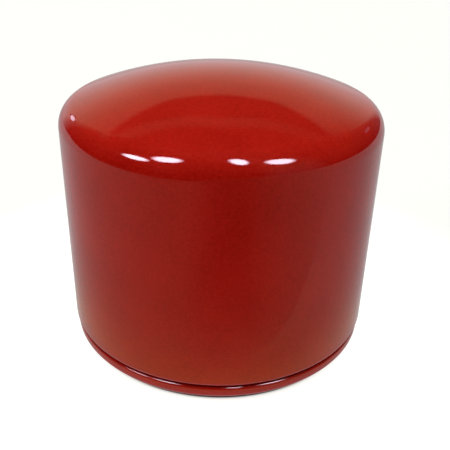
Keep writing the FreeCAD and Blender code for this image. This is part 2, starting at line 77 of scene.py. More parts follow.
SEAM_OUTER = SEAM_RADIUS - LID_STEEL
CAN_HOOK_INNER = SEAM_OUTER - CAN_STEEL
LID_HOOK_INNER = CAN_HOOK_INNER - LID_STEEL
CAN_NECK_INNER = LID_HOOK_INNER - CAN_STEEL
CHUCK_INNER = CAN_NECK_INNER - LID_STEEL
FOLD_MIDDLE = (CAN_NECK_INNER + SEAM_OUTER) / 2
CAN_FOLD = (SEAM_OUTER - CAN_NECK_INNER) / 2
LID_FOLD = CAN_FOLD + LID_STEEL
INNER_FOLD = CAN_FOLD - CAN_STEEL
FOLD_HEIGHT = SEAM_BOTTOM + LID_FOLD
CURL_MIDDLE = (LID_HOOK_INNER + SEAM_RADIUS) / 2
CURL = (SEAM_RADIUS - LID_HOOK_INNER) / 2
CURL_INNER = CURL - LID_STEEL
CURL_HEIGHT = SEAM_BOTTOM + SEAM_HEIGHT - CURL
HOOK_TOP = CURL_HEIGHT - HOOK_GAP
GASKET_INSIDE = 30.86
GASKET_OUTSIDE = 34.72
PLATE_RADIUS = 35.2
PLATE_THICKNESS = 3.0
PLATE_BOTTOM = ROOF_HEIGHT + LID_STEEL
PLATE_TOP = PLATE_BOTTOM + PLATE_THICKNESS
HUB_RADIUS = 12.0
HUB_TOP = 14.5
THREAD_MINOR = 8.75
THREAD_MAJOR = 9.525
THREAD_PITCH = 1.5875
THREAD_ENTRY = 0.9
THREAD_EXIT = 0.5
INLET_RADIUS = 2.75
INLET_RING = 21.0
INLET_COUNT = 8

VALVE_BORE = 12.1
VALVE_SLEEVE = 1.4
VALVE_FOOT = 10.3
VALVE_TOP = 15.4
VALVE_FACE = 16.6
VALVE_THICKNESS = 1.3
VALVE_LIP = 27.0
VALVE_LIP_WIDTH = 1.6
VALVE_LIP_HEIGHT = 1.0

CAP_FLOOR = 15.9
CAP_CEILING = 54.5
MEDIA_BOTTOM = 17.2
MEDIA_TOP = 53.2
TUBE_OUTSIDE = 15.0
POTTING_OUTSIDE = 32.9
PLEAT_COUNT = 48
PAPER_THICKNESS = 0.6
FOLD_INSIDE = 16.2
FOLD_OUTSIDE = 31.4
PAPER_END = 31.8

BYPASS_WIRE = 0.9
BYPASS_COIL = 6.5
BYPASS_TURNS = 5.0
BYPASS_BOTTOM = 42.4
BYPASS_TOP = 53.1
HOLD_WIRE = 1.6
HOLD_COIL = 13.4
HOLD_TURNS = 2.0
HOLD_BOTTOM = 56.5
HOLD_TOP = 64.3


# ---------------------------------------------------------------- mesh helpers


def arc_points(start, end, radius, side, steps):
    """Points from start up to, not including, end, on an arc of at most half a turn."""
    ax, ay = start
    bx, by = end
    chord = math.hypot(bx - ax, by - ay)
    depth = math.sqrt(max(radius ** 2 - (chord / 2) ** 2, 0)) * side
    cx = (ax + bx) / 2 - (by - ay) / chord * depth
    cy = (ay + by) / 2 + (bx - ax) / chord * depth
    first = math.atan2(ay - cy, ax - cx)
    last = math.atan2(by - cy, bx - cx)
    if side > 0 and last < first:
        last += 2 * math.pi
    if side < 0 and last > first:
        last -= 2 * math.pi
    angles = [first + (last - first) * step / steps for step in range(steps)]
    return [(cx + radius * math.cos(a), cy + radius * math.sin(a)) for a in angles]


def round_outline(outline, spacing=0.12, longest=40):
    """Turns corners, some with (radius, side) of the arc to the next, into plain points."""
    points = []
    for index, corner in enumerate(outline):
        start = corner[:2]
        end = outline[(index + 1) % len(outline)][:2]
        if len(corner) == 2:
            points.append(start)
            continue
        length = math.dist(start, end)
        steps = max(4, min(longest, round(length / spacing)))
        points += arc_points(start, end, corner[2], corner[3], steps)
    return points


def finish_mesh(name, bm, sharp=35):
    """A smooth-shaded object, with edges of more than sharp degrees kept sharp."""
    bmesh.ops.recalc_face_normals(bm, faces=bm.faces)
    mesh = bpy.data.meshes.new(name)
    bm.to_mesh(mesh)
    bm.free()
    mesh.polygons.foreach_set("use_smooth", [True] * len(mesh.polygons))
    mesh.set_sharp_from_angle(angle=math.radians(sharp))
    piece = bpy.data.objects.new(name, mesh)
    bpy.context.scene.collection.objects.link(piece)
    return piece


def lathe(name, points, segments=FINE, sharp=35):
    """A closed ring turned about the axis. A radius may be a function of the angle."""
    bm = bmesh.new()
    rings = []
    for radius, height in points:
        if not callable(radius) and radius < 1e-6:
            rings.append([bm.verts.new((0, 0, height * MM))] * segments)
            continue
        ring = []
        for step in range(segments):
            angle = 2 * math.pi * step / segments
            reach = (radius(angle) if callable(radius) else radius) * MM
            ring.append(bm.verts.new((reach * math.cos(angle), reach * math.sin(angle),
                                      height * MM)))
        rings.append(ring)
    for index, ring in enumerate(rings):
        after = rings[(index + 1) % len(rings)]
        for step in range(segments):
            turn = (step + 1) % segments
            corners = [ring[step], ring[turn], after[turn], after[step]]
            unique = list(dict.fromkeys(corners))
            if len(unique) > 2:
                bm.faces.new(unique)
    return finish_mesh(name, bm, sharp)


def wire(name, route, radius, sides=16):
    """A round wire with flat ends along a route of points in millimetres."""
    bm = bmesh.new()
    rings = []
    for index, point in enumerate(route):
        before = route[max(index - 1, 0)]
        after = route[min(index + 1, len(route) - 1)]
        along = (after - before).normalized()
        out = Vector((point.x, point.y, 0)).normalized()
        out = (out - along * out.dot(along)).normalized()
        up = along.cross(out)
        rings.append([bm.verts.new((point + (out * math.cos(a) + up * math.sin(a)) * radius) * MM)
                      for a in [2 * math.pi * side / sides for side in range(sides)]])
    for ring, after in zip(rings, rings[1:]):
        for side in range(sides):
            turn = (side + 1) % sides
            bm.faces.new([ring[side], ring[turn], after[turn], after[side]])
    bm.faces.new(rings[0])
    bm.faces.new(rings[-1])
    return finish_mesh(name, bm, WIRE_SHARP)


def place(piece, node, body, slot, *materials):
    """The piece stands for the CAD node and moves with its body."""
    for material in materials:
        piece.data.materials.append(material)
    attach(piece, body)
    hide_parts(node)
    return piece


# ---------------------------------------------------------------- material helpers


class Nodes:
    """Short calls for building a node tree in object coordinates, in millimetres."""

    def __init__(self, tree):
        self.tree = tree
        place_node = tree.nodes.new("ShaderNodeTexCoord")
        scale = tree.nodes.new("ShaderNodeMapping")
        scale.inputs["Scale"].default_value = (1 / MM, 1 / MM, 1 / MM)
        tree.links.new(place_node.outputs["Object"], scale.inputs["Vector"])
        self.millimetres = scale.outputs["Vector"]

    def add(self, kind, inputs=None, **settings):
        node = self.tree.nodes.new(kind)
        for setting, value in settings.items():
            setattr(node, setting, value)
        for socket, value in (inputs or {}).items():
            if isinstance(value, bpy.types.NodeSocket):
                self.tree.links.new(value, node.inputs[socket])
            else:
                node.inputs[socket].default_value = value
        return node

    def stretched(self, x, y, z):
        """Coordinates scaled by axis, for marks that run one way."""
        return self.add("ShaderNodeMapping", {
            "Vector": self.millimetres, "Scale": (x, y, z)}).outputs["Vector"]

    def noise(self, scale, detail=2.0, roughness=0.5, vector=None):
        """Noise whose features are about 1 / scale millimetres across."""
        return self.add("ShaderNodeTexNoise", {
            "Vector": vector or self.millimetres, "Scale": scale, "Detail": detail,
            "Roughness": roughness}).outputs["Fac"]

    def fit(self, value, low, high, to_low, to_high):
        """Carries low to high over to to_low to to_high, and clamps beyond them."""
        return self.add("ShaderNodeMapRange", {
            "Value": value, "From Min": low, "From Max": high, "To Min": to_low,
            "To Max": to_high}).outputs["Result"]

    def steps(self, value, low, high, stops):
        """A level that runs through stops of (value, level), for values from low to high."""
        node = self.add("ShaderNodeValToRGB", {"Fac": self.fit(value, low, high, 0.0, 1.0)})
        marks = node.color_ramp.elements
        while len(marks) < len(stops):
            marks.new(1.0)
        for mark, (mark_value, level) in zip(marks, stops):
            mark.position = (mark_value - low) / (high - low)
            mark.color = (level, level, level, 1)
        return node.outputs["Color"]

    def math(self, operation, first, second=0.0):
        return self.add("ShaderNodeMath", {0: first, 1: second}, operation=operation).outputs[0]

    def mix(self, factor, first, second):
        node = self.add("ShaderNodeMix", {"Factor": factor}, data_type="RGBA")
        for index, value in ((6, first), (7, second)):
            if isinstance(value, bpy.types.NodeSocket):
                self.tree.links.new(value, node.inputs[index])
            else:
                node.inputs[index].default_value = value
        return node.outputs[2]

    def bump(self, height, distance, strength=1.0, after=None):
        """Bump whose height of 1 stands distance millimetres proud."""
        inputs = {"Height": height, "Distance": distance * MM, "Strength": strength}
        if after:
            inputs["Normal"] = after
        return self.add("ShaderNodeBump", inputs).outputs["Normal"]

    def link(self, output, socket):
        self.tree.links.new(output, socket)


def new_material(name, **values):
    """A Principled material; values are its sockets, set directly."""
    material = bpy.data.materials.new(name)
    material.use_nodes = True
    shader = material.node_tree.nodes["Principled BSDF"]
    for socket, value in values.items():
        shader.inputs[socket.replace("_", " ")].default_value = value
    return material, shader, Nodes(material.node_tree)


# ---------------------------------------------------------------- materials


def red_enamel():
    """Glossy baked enamel: faint colour drift, orange peel and a few small nibs."""
    material, shader, nodes = new_material(
        "red_enamel", Roughness=0.45, Coat_Weight=1.0, Coat_Roughness=0.05, Coat_IOR=1.5,
        Specular_IOR_Level=0.0)
    drift = nodes.fit(nodes.noise(0.09, 3), 0.35, 0.65, 0.0, 0.4)
    grain = nodes.fit(nodes.noise(1.8, 2), 0.35, 0.65, 0.0, 0.6)
    colour = nodes.mix(nodes.math("ADD", drift, grain), (0.260, 0.0028, 0.0012, 1),
                       (0.346, 0.0068, 0.0030, 1))
    speck = nodes.add("ShaderNodeTexVoronoi", {
        "Vector": nodes.millimetres, "Scale": 0.11}).outputs["Distance"]
    nib = nodes.fit(speck, 0.016, 0.028, 1.0, 0.0)
    nodes.link(nodes.mix(nib, colour, (0.07, 0.003, 0.003, 1)), shader.inputs["Base Color"])
    peel = nodes.bump(nodes.noise(0.55, 2), 0.004)
    nodes.link(nodes.bump(nib, 0.02, after=peel), shader.inputs["Coat Normal"])
    nodes.link(nodes.bump(nodes.noise(0.55, 2), 0.003), shader.inputs["Normal"])
    return material


def plated_steel():
    """Clear zinc on pressed steel: soft mottling and fine scratches from tumbling."""
    material, shader, nodes = new_material("plated_steel", Metallic=1.0)
    mottle = nodes.fit(nodes.noise(0.35, 4, 0.6), 0.3, 0.7, 0.0, 1.0)
    colour = nodes.mix(mottle, (0.50, 0.49, 0.46, 1), (0.66, 0.65, 0.61, 1))
    nodes.link(colour, shader.inputs["Base Color"])
    scratches = nodes.noise(1.0, 3, 0.7, nodes.stretched(6.0, 0.7, 1.0))
    nodes.link(nodes.fit(scratches, 0.0, 1.0, 0.2, 0.45), shader.inputs["Roughness"])
    fine = nodes.bump(nodes.noise(2.2, 4, 0.6), 0.012)
    nodes.link(nodes.bump(scratches, 0.008, after=fine), shader.inputs["Normal"])
    return material


def tinned_steel():
    """Tinplate with the fine grain of rolling."""
    material, shader, nodes = new_material("tinned_steel", Metallic=1.0)
    rolled = nodes.noise(1.0, 3, 0.6, nodes.stretched(0.4, 5.0, 0.4))
    nodes.link(nodes.mix(rolled, (0.60, 0.60, 0.59, 1), (0.76, 0.76, 0.75, 1)),
               shader.inputs["Base Color"])
    nodes.link(nodes.fit(rolled, 0.3, 0.7, 0.22, 0.38), shader.inputs["Roughness"])
    nodes.link(nodes.bump(rolled, 0.006), shader.inputs["Normal"])
    return material


def spring_steel():
    """Dark drawn wire with an uneven oiled skin."""
    material, shader, nodes = new_material("spring_steel", Metallic=1.0)
    drawn = nodes.noise(1.5, 3, 0.6)
    nodes.link(nodes.mix(drawn, (0.20, 0.20, 0.21, 1), (0.36, 0.36, 0.37, 1)),
               shader.inputs["Base Color"])
    nodes.link(nodes.fit(drawn, 0.3, 0.7, 0.28, 0.42), shader.inputs["Roughness"])
    nodes.link(nodes.bump(nodes.noise(4.0, 3), 0.01), shader.inputs["Normal"])
    return material


def rubber(name, tone, rough):
    """Moulded nitrile rubber: matt bloom and a fine moulded grain."""
    material, shader, nodes = new_material(name, Specular_IOR_Level=0.35)
    bloom = nodes.fit(nodes.noise(0.25, 4, 0.6), 0.35, 0.7, 0.0, 1.0)
    light = tuple(1.8 * channel for channel in tone) + (1,)
    nodes.link(nodes.mix(bloom, tone + (1,), light), shader.inputs["Base Color"])
    nodes.link(nodes.fit(bloom, 0.0, 1.0, rough - 0.08, rough + 0.08), shader.inputs["Roughness"])
    nodes.link(nodes.bump(nodes.noise(5.0, 3, 0.6), 0.02), shader.inputs["Normal"])
    return material


def filter_paper():
    """Resin-soaked cellulose with visible fibres."""
    material, shader, nodes = new_material("filter_paper", Roughness=0.85,
                                           Specular_IOR_Level=0.25)
    fibres = nodes.noise(3.0, 5, 0.7, nodes.stretched(1.0, 1.0, 0.35))
    nodes.link(nodes.mix(fibres, (0.56, 0.40, 0.19, 1), (0.80, 0.66, 0.42, 1)),
               shader.inputs["Base Color"])
    nodes.link(nodes.bump(fibres, 0.05), shader.inputs["Normal"])
    return material


def cured_plastic(name, dark, light, rough):
    """Poured and baked: a skin with slow waves."""
    material, shader, nodes = new_material(name, Roughness=rough)
    flow = nodes.noise(0.3, 3)
    nodes.link(nodes.mix(flow, dark, light), shader.inputs["Base Color"])
    nodes.link(nodes.bump(flow, 0.15), shader.inputs["Normal"])
    return material


ENAMEL = red_enamel()
ZINC = plated_steel()
TIN = tinned_steel()
WIRE = spring_steel()
GASKET_RUBBER = rubber("gasket_rubber", (0.010, 0.010, 0.011), 0.55)
VALVE_RUBBER = rubber("valve_rubber", (0.013, 0.013, 0.014), 0.45)
PAPER = filter_paper()
POTTING = cured_plastic("potting", (0.30, 0.05, 0.03, 1), (0.42, 0.08, 0.04, 1), 0.35)
COMPOUND = cured_plastic("sealing_compound", (0.34, 0.30, 0.25, 1), (0.46, 0.41, 0.34, 1), 0.6)


# ---------------------------------------------------------------- can and lid


def can_shell():
    """One closed outline: dome, wall, neck and hook outside, then the inside back up."""
    shoulder_middle = BODY_RADIUS - SHOULDER
    edge = shoulder_middle + SHOULDER * math.sin(CROWN_ANGLE)
    edge_height = WALL_TOP + SHOULDER * math.cos(CROWN_ANGLE)
    crown = edge / math.sin(CROWN_ANGLE)
    crown_middle = edge_height - crown * math.cos(CROWN_ANGLE)
    crown_inner = crown - CAN_STEEL
    inner_edge = crown_inner * math.sin(CROWN_ANGLE)
    inner_edge_height = crown_middle + crown_inner * math.cos(CROWN_ANGLE)
    corner_middle = BODY_RADIUS - CORNER
    corner_height = NECK_HEIGHT + CORNER
    neck_middle = LID_HOOK_INNER + NECK
    neck_low = NECK_HEIGHT - NECK
    neck_upper = NECK_HEIGHT + CAN_STEEL
    outline = [
        (0, crown_middle + crown, crown, RIGHT),
        (edge, edge_height, SHOULDER, RIGHT),
        (BODY_RADIUS, WALL_TOP),
        (BODY_RADIUS, corner_height, CORNER, RIGHT),
        (corner_middle, NECK_HEIGHT),
        (neck_middle, NECK_HEIGHT, NECK, LEFT),
        (LID_HOOK_INNER, neck_low),
        (LID_HOOK_INNER, FOLD_HEIGHT, INNER_FOLD, LEFT),
        (FOLD_MIDDLE, FOLD_HEIGHT - INNER_FOLD, INNER_FOLD, LEFT),
        (CAN_HOOK_INNER, FOLD_HEIGHT),
        (CAN_HOOK_INNER, HOOK_TOP),
        (SEAM_OUTER, HOOK_TOP),
        (SEAM_OUTER, FOLD_HEIGHT, CAN_FOLD, RIGHT),
        (FOLD_MIDDLE, FOLD_HEIGHT - CAN_FOLD, CAN_FOLD, RIGHT),
        (CAN_NECK_INNER, FOLD_HEIGHT),
        (CAN_NECK_INNER, neck_low, NECK + CAN_STEEL, RIGHT),
        (neck_middle, neck_upper),
        (corner_middle, neck_upper, CORNER - CAN_STEEL, LEFT),
        (BODY_RADIUS - CAN_STEEL, corner_height),
        (BODY_RADIUS - CAN_STEEL, WALL_TOP, SHOULDER - CAN_STEEL, LEFT),
        (inner_edge, inner_edge_height, crown_inner, LEFT),
        (0, crown_middle + crown_inner),
    ]
    piece = lathe("can_shell_visual", round_outline(outline))
    return place(piece, "can_shell", "housing", "enamel", ENAMEL)


def seam_lid():
    """Lip, roof, inner wall, hook and rolled edge, as one closed outline."""
    outer_bend = LID_BEND + LID_STEEL
    bend_height = ROOF_HEIGHT - LID_BEND
    lip_bend = LIP_RADIUS + outer_bend
    wall_bend = CAN_NECK_INNER - outer_bend
    outline = [
        (LIP_RADIUS, LIP_BOTTOM),
        (LIP_RADIUS, bend_height, outer_bend, RIGHT),
        (lip_bend, PLATE_BOTTOM),
        (wall_bend, PLATE_BOTTOM, outer_bend, RIGHT),
        (CAN_NECK_INNER, bend_height),
        (CAN_NECK_INNER, FOLD_HEIGHT, CAN_FOLD, LEFT),
        (FOLD_MIDDLE, FOLD_HEIGHT - CAN_FOLD, CAN_FOLD, LEFT),
        (SEAM_OUTER, FOLD_HEIGHT),
        (SEAM_OUTER, CURL_HEIGHT, CURL_INNER, LEFT),
        (CURL_MIDDLE, CURL_HEIGHT + CURL_INNER, CURL_INNER, LEFT),
        (CAN_HOOK_INNER, CURL_HEIGHT),
        (CAN_HOOK_INNER, CURL_HEIGHT - HOOK_LAP),
        (LID_HOOK_INNER, CURL_HEIGHT - HOOK_LAP),
        (LID_HOOK_INNER, CURL_HEIGHT, CURL, RIGHT),
        (CURL_MIDDLE, CURL_HEIGHT + CURL, CURL, RIGHT),
        (SEAM_RADIUS, CURL_HEIGHT),
        (SEAM_RADIUS, FOLD_HEIGHT, LID_FOLD, RIGHT),
        (FOLD_MIDDLE, SEAM_BOTTOM, LID_FOLD, RIGHT),
        (CHUCK_INNER, FOLD_HEIGHT),
        (CHUCK_INNER, bend_height, LID_BEND, LEFT),
        (wall_bend, ROOF_HEIGHT),
        (lip_bend, ROOF_HEIGHT, LID_BEND, LEFT),
        (LIP_RADIUS + LID_STEEL, bend_height),
        (LIP_RADIUS + LID_STEEL, LIP_BOTTOM),
    ]
    piece = lathe("seam_lid_visual", round_outline(outline))
    return place(piece, "seam_lid", "housing", "enamel", ENAMEL)


def base_gasket():
    """A square ring, rounded where it seals and bevelled where it sits in the lid."""
    edge = 0.5
    outline = [
        (GASKET_INSIDE + edge, 0),
        (GASKET_OUTSIDE - edge, 0, edge, LEFT),
        (GASKET_OUTSIDE, edge),
        (GASKET_OUTSIDE, ROOF_HEIGHT - edge),
        (GASKET_OUTSIDE - edge, ROOF_HEIGHT),
        (GASKET_INSIDE + edge, ROOF_HEIGHT),
        (GASKET_INSIDE, ROOF_HEIGHT - edge),
        (GASKET_INSIDE, edge, edge, LEFT),
    ]
    piece = lathe("base_gasket_visual", round_outline(outline))
    return place(piece, "base_gasket", "housing", "gasket_rubber", GASKET_RUBBER)


def drill(piece, cutter, places):
    """Cuts copies of the cutter, moved to the places, out of the piece."""
    bm = bmesh.new()
    for x, y in places:
        at = Matrix.Translation((x * MM, y * MM, 0))
        copy = cutter.data.copy()
        copy.transform(at)
        bm.from_mesh(copy)
        bpy.data.meshes.remove(copy)
    bm.to_mesh(cutter.data)
    bm.free()
    cut = piece.modifiers.new("cut", "BOOLEAN")
    cut.operation = "DIFFERENCE"
    cut.solver = "EXACT"
    cut.object = cutter
    result = bpy.data.meshes.new_from_object(piece.evaluated_get(
        bpy.context.evaluated_depsgraph_get()))
    piece.modifiers.remove(cut)
    result.name = piece.name
    piece.data = result
    bpy.data.objects.remove(cutter)


def thread_radius(height):
    """The wall of the right-hand threaded hole at a height, as a function of the angle."""
    half_angle = math.radians(30)
    flank = (THREAD_MAJOR - THREAD_MINOR) * math.tan(half_angle)
    root = THREAD_PITCH / 16
    entry = THREAD_MINOR + THREAD_ENTRY - (height - PLATE_BOTTOM)
    leave = THREAD_MINOR + THREAD_EXIT - (HUB_TOP - height)
    open_end = max(entry, leave)

    def radius(angle):
        turns = height / THREAD_PITCH - angle / (2 * math.pi)
        off = abs(turns - round(turns)) * THREAD_PITCH
        depth = min(max((root + flank - off) / flank, 0), 1)
        return max(open_end, THREAD_MINOR + (THREAD_MAJOR - THREAD_MINOR) * depth)

    return radius


def base_plate():
    """A thick plate with a threaded hub, and a ring of flared inlet holes cut out of it."""
    edge = 0.5
    fillet = 1.0
    hub_round = 0.8
    rows = 80
    flare = 0.3
    over = 1.0
    outline = round_outline([
        (PLATE_RADIUS - edge, PLATE_BOTTOM, edge, LEFT),
        (PLATE_RADIUS, PLATE_BOTTOM + edge),
        (PLATE_RADIUS, PLATE_TOP - edge, edge, LEFT),
        (PLATE_RADIUS - edge, PLATE_TOP),
        (HUB_RADIUS + fillet, PLATE_TOP, fillet, RIGHT),
        (HUB_RADIUS, PLATE_TOP + fillet),
        (HUB_RADIUS, HUB_TOP - hub_round, hub_round, LEFT),
        (HUB_RADIUS - hub_round, HUB_TOP),
    ])
    heights = [HUB_TOP + (PLATE_BOTTOM - HUB_TOP) * row / rows for row in range(rows + 1)]
    piece = lathe("base_plate_visual", outline + [(thread_radius(z), z) for z in heights],
                  MEDIUM, PLATE_SHARP)
    cutter = lathe("inlet_cutter", [
        (0, PLATE_BOTTOM - over),
        (INLET_RADIUS + flare + over, PLATE_BOTTOM - over),
        (INLET_RADIUS, PLATE_BOTTOM + flare),
        (INLET_RADIUS, PLATE_TOP - flare),
        (INLET_RADIUS + flare + over, PLATE_TOP + over),
        (0, PLATE_TOP + over),
    ], COARSE)
    turns = [2 * math.pi * hole / INLET_COUNT for hole in range(INLET_COUNT)]
    drill(piece, cutter, [(INLET_RING * math.cos(a), INLET_RING * math.sin(a)) for a in turns])
    piece.data.set_sharp_from_angle(angle=math.radians(PLATE_SHARP))
    return place(piece, "base_plate", "housing", "plated_steel", ZINC)


def anti_drainback_valve():
    """Moulded valve: a sleeve round the hub, an arched skirt and a thick lip."""
    sleeve = VALVE_BORE + VALVE_SLEEVE
    root = VALVE_TOP - VALVE_THICKNESS
    lip = PLATE_TOP + VALVE_LIP_HEIGHT
    foot = 0.4
    hollow = 0.6
    lip_edge = 0.35
    bevel = 0.3
    arch = 30.0
    outline = [
        (VALVE_BORE, VALVE_FOOT + foot, foot, LEFT),
        (VALVE_BORE + foot, VALVE_FOOT),
        (sleeve - foot, VALVE_FOOT, foot, LEFT),
        (sleeve, VALVE_FOOT + foot),
        (sleeve, root - hollow, hollow, RIGHT),
        (sleeve + hollow, root),
        (VALVE_FACE - 0.9, root, arch, RIGHT),
        (VALVE_LIP - VALVE_LIP_WIDTH, PLATE_TOP + 0.05),
        (VALVE_LIP - lip_edge, PLATE_TOP, lip_edge, LEFT),
        (VALVE_LIP, PLATE_TOP + lip_edge),
        (VALVE_LIP, lip - bevel, bevel, LEFT),
        (VALVE_LIP - 0.4, lip + 0.15, arch, LEFT),
        (VALVE_FACE + 0.5, VALVE_TOP - bevel, 0.8, LEFT),
        (VALVE_FACE - 0.2, VALVE_TOP),
        (VALVE_BORE + bevel, VALVE_TOP),
        (VALVE_BORE, VALVE_TOP - bevel),
    ]
    piece = lathe("anti_drainback_valve_visual", round_outline(outline), MEDIUM)
    place(piece, "anti_drainback_valve", "drainback_flap", "valve_rubber", VALVE_RUBBER)
    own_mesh(piece)
    return piece


def potting_ring(name, bottom, top):
    """Adhesive with a rounded outer edge, where it meets the cap's rim."""
    round_edge = 0.3
    outline = [
        (TUBE_OUTSIDE, bottom),
        (POTTING_OUTSIDE - round_edge, bottom, round_edge, LEFT),
        (POTTING_OUTSIDE, bottom + round_edge),
        (POTTING_OUTSIDE, top - round_edge, round_edge, LEFT),
        (POTTING_OUTSIDE - round_edge, top),
        (TUBE_OUTSIDE, top),
    ]
    piece = lathe(name + "_visual", round_outline(outline), MEDIUM)
    return place(piece, name, "element", "potting", POTTING)


def pleated_media():
    """One strip of paper in radial pleats, its flanks embossed with shallow waves."""
    half_step = math.pi / PLEAT_COUNT / 2
    flanks = 2 * PLEAT_COUNT
    fold_steps = 6
    flank_steps = 8
    rows = 24
    wave = 0.07
    wave_rate = 2.1
    fade_in = 3
    route = [(PAPER_END, half_step)]
    for flank in range(flanks):
        middle = half_step * (2 * flank + 1)
        outward = flank % 2
        first, last = (FOLD_INSIDE, FOLD_OUTSIDE) if outward else (FOLD_OUTSIDE, FOLD_INSIDE)
        if flank == 0:
            first = PAPER_END
        if flank == flanks - 1:
            last = PAPER_END
        for step in range(1, flank_steps + 1):
            route.append((first + (last - first) * step / flank_steps, middle))
        if flank == flanks - 1:
            continue
        turn = middle + half_step
        fold = last * math.sin(half_step)
        for step in range(1, fold_steps + 1):
            a = math.pi / 2 - math.pi * step / (fold_steps + 1)
            x = last + fold * math.cos(a) * (1 if outward else -1)
            route.append((math.hypot(x, fold * math.sin(a)),
                          turn - math.atan2(fold * math.sin(a), x)))
        route.append((last, turn + half_step))
    plan = [Vector((r * math.cos(a), r * math.sin(a), 0)) for r, a in route]
    bm = bmesh.new()
    skins = []
    for side in (1, -1):
        skin = []
        for row in range(rows + 1):
            height = MEDIA_BOTTOM + (MEDIA_TOP - MEDIA_BOTTOM) * row / rows
            line = []
            for index, point in enumerate(plan):
                before = plan[max(index - 1, 0)]
                after = plan[min(index + 1, len(plan) - 1)]
                across = (after - before).normalized().cross(Vector((0, 0, 1)))
                middle = min(point.length - FOLD_INSIDE, FOLD_OUTSIDE - point.length)
                depth = wave * math.sin(height * wave_rate) * min(max(middle / fade_in, 0), 1)
                moved = point + across * (side * PAPER_THICKNESS / 2 + depth)
                line.append(bm.verts.new(Vector((moved.x, moved.y, height)) * MM))
            skin.append(line)
        skins.append(skin)
    front, back = skins
    last = len(plan) - 1
    for row in range(rows):
        for index in range(last):
            for skin in skins:
                bm.faces.new([skin[row][index], skin[row][index + 1],
                              skin[row + 1][index + 1], skin[row + 1][index]])
        for index in (0, last):
            bm.faces.new([front[row][index], front[row + 1][index],
                          back[row + 1][index], back[row][index]])
    for row in (0, rows):
        for index in range(last):
            bm.faces.new([front[row][index], front[row][index + 1],
                          back[row][index + 1], back[row][index]])
    piece = finish_mesh("pleated_media_visual", bm)
    return place(piece, "pleated_media", "element", "filter_paper", PAPER)


def coil(name, gauge, radius, bottom, top, turns):
    """A compression spring whose first and last half turns lie flat."""
    steps_in_turn = 48
    flat = 0.5
    low = bottom + gauge / 2
    high = top - gauge / 2
    route = []
    steps = round(turns * steps_in_turn)
    for step in range(steps + 1):
        turn = step / steps_in_turn
        climb = min(max((turn - flat / 2) / (turns - flat), 0), 1)
        angle = 2 * math.pi * turn
        route.append(Vector((radius * math.cos(angle), radius * math.sin(angle),
                             low + (high - low) * climb)))
    return wire(name, route, gauge / 2)


def bypass_valve_spring():
    piece = coil("bypass_valve_spring_visual", BYPASS_WIRE, BYPASS_COIL, BYPASS_BOTTOM,
                 BYPASS_TOP, BYPASS_TURNS)
    place(piece, "bypass_valve_spring", "element", "spring_steel", WIRE)
    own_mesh(piece)
    return piece


def element_spring():
    piece = coil("element_spring_visual", HOLD_WIRE, HOLD_COIL, HOLD_BOTTOM, HOLD_TOP,
                 HOLD_TURNS)
    place(piece, "element_spring", "housing", "spring_steel", WIRE)
    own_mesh(piece)
    return piece


can_shell()
seam_lid()
base_gasket()
base_plate()
anti_drainback_valve()
potting_ring("lower_potting", CAP_FLOOR, MEDIA_BOTTOM)
potting_ring("upper_potting", MEDIA_TOP, CAP_CEILING)
pleated_media()
bypass_valve_spring()
element_spring()


# ---------------------------------------------------------------- finishes of the CAD's own pieces

CARRIED_OVER = {
    "lower_end_cap": TIN,
    "upper_end_cap": TIN,
    "center_tube": TIN,
    "media_clip": TIN,
    "bypass_valve_body": ZINC,
    "bypass_valve_seat": ZINC,
    "bypass_valve_poppet": ZINC,
    "bypass_valve_stem": ZINC,
    "bypass_valve_seal": VALVE_RUBBER,
    "seam_sealing_compound": COMPOUND,
}


def dress(node_name, material):
    """Gives the CAD's own mesh a finish."""
    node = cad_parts[node_name]
    if not node.data.materials:
        node.data.materials.append(material)
    for slot in node.material_slots:
        slot.material = material


for node_name, material in CARRIED_OVER.items():
    dress(node_name, material)


# ---------------------------------------------------------------- camera

# The eye is in front of the filter and above it, and looks a little below its middle.
# These values come from a fit to the filter's outline in the photo.
EYE_DISTANCE = 0.15915
EYE_ELEVATION = math.radians(25.28)
EYE_TARGET_HEIGHT = 0.0337
PITCH = math.radians(27.78)
YAW = math.radians(0.53)
ROLL = math.radians(1.39)
LENS = 50.73

forward = Vector((math.sin(YAW) * math.cos(PITCH), math.cos(YAW) * math.cos(PITCH),
                  -math.sin(PITCH)))
level = forward.cross(Vector((0, 0, 1))).normalized()
upright = level.cross(forward)
right = level * math.cos(ROLL) + upright * math.sin(ROLL)
up = upright * math.cos(ROLL) - level * math.sin(ROLL)
eye = Vector((0, -EYE_DISTANCE * math.cos(EYE_ELEVATION),
              EYE_TARGET_HEIGHT + EYE_DISTANCE * math.sin(EYE_ELEVATION)))
camera = bpy.data.objects.new("camera", bpy.data.cameras.new("camera"))
camera.data.lens = LENS
camera.data.clip_start = 0.01
camera.matrix_world = Matrix((right, up, -forward)).transposed().to_4x4()
camera.location = eye
bpy.context.scene.collection.objects.link(camera)
bpy.context.scene.camera = camera


# ---------------------------------------------------------------- studio

bpy.context.scene.view_settings.view_transform = "Standard"

FLOOR_SIZE = 6.0
SHELL_RADIUS = 5.0


def glowing_material(name):
    """A material that only glows, and its node helper and glow."""
    material = bpy.data.materials.new(name)
    material.use_nodes = True
    tree = material.node_tree
    tree.nodes.remove(tree.nodes["Principled BSDF"])
    glow = tree.nodes.new("ShaderNodeEmission")
    tree.links.new(glow.outputs["Emission"], tree.nodes["Material Output"].inputs["Surface"])
    return material, glow, Nodes(tree)


def mirrored_only(card):
    """The card is seen only in reflections, and lights nothing else."""
    card.visible_camera = False
    card.visible_diffuse = False
    card.visible_shadow = False
    card.visible_transmission = False
    card.visible_volume_scatter = False


